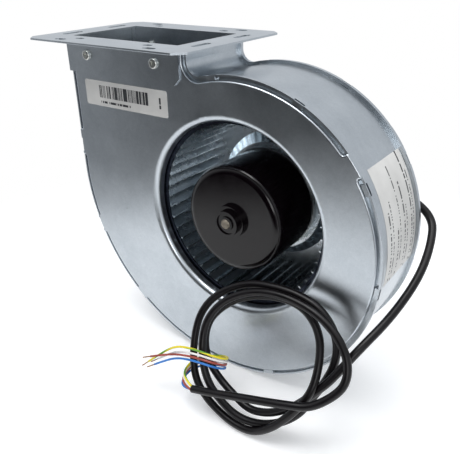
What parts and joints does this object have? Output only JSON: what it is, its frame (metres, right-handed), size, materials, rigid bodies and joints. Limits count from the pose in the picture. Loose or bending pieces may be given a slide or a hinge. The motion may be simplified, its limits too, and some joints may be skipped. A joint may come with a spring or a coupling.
{
  "type": "centrifugal blower",
  "caption": "Galvanised centrifugal blower with a scroll housing, outlet flange, forward-curved impeller on an external-rotor motor and a coiled supply cable.",
  "frame": {"origin": "middle of the rectangular outlet opening, on the flange's sealing face", "axes": "+Z out of the outlet, up; the fan axis runs along Y with the intake on -Y; +X from the outlet towards the impeller"},
  "size_m": [0.3178, 0.1662, 0.2635],
  "materials": {
    "galvanised_sheet": "satin",
    "zinc_screw": "satin",
    "bearing_steel": "polished",
    "shaft_steel": "satin",
    "black_coat": "satin",
    "cast_aluminium": "matte",
    "lamination_steel": "matte",
    "insulator_plastic": "matte",
    "copper_wire": "satin",
    "black_plastic": "matte",
    "grommet_rubber": "matte",
    "label_paper": "matte",
    "cable_sheath": "satin",
    "core_yellow_pvc": "gloss",
    "core_white_pvc": "gloss",
    "core_red_pvc": "gloss",
    "core_blue_pvc": "gloss"
  },
  "bodies": {
    "housing": {"front_plate": "galvanised_sheet", "back_plate": "galvanised_sheet", "scroll_wrapper": "galvanised_sheet", "outlet_flange": "galvanised_sheet", "flange_screws": "zinc_screw", "bearing_outer_rings": "bearing_steel", "stator_core": "lamination_steel", "slot_insulators": "insulator_plastic", "windings": "copper_wire", "motor_flange": "cast_aluminium", "motor_screws": "zinc_screw", "terminal_cap": "black_plastic", "cap_screws": "zinc_screw", "cable_grommet": "grommet_rubber", "cable_saddle": "black_plastic", "saddle_screw": "zinc_screw", "barcode_label": "label_paper", "rating_label": "label_paper", "cable_tube": "cable_sheath", "cable_coil": "cable_sheath", "core_green_yellow": "core_yellow_pvc", "core_white": "core_white_pvc", "core_red": "core_red_pvc", "core_blue": "core_blue_pvc", "core_tips": "copper_wire"},
    "rotor": {"impeller_front_ring": "galvanised_sheet", "impeller_blades": "galvanised_sheet", "impeller_back_disc": "galvanised_sheet", "rotor_cup": "black_coat", "rotor_cage": "cast_aluminium", "shaft": "shaft_steel", "retaining_ring": "shaft_steel", "spring_washer": "shaft_steel", "bearing_inner_rings": "bearing_steel", "bearing_balls": "bearing_steel"}
  },
  "joints": [
    {"name": "rotor_spin", "type": "hinge", "parent": "housing", "child": "rotor", "pos_m": [0.1005, 0, -0.124], "axis": [0, 1, 0], "continuous": true}
  ]
}
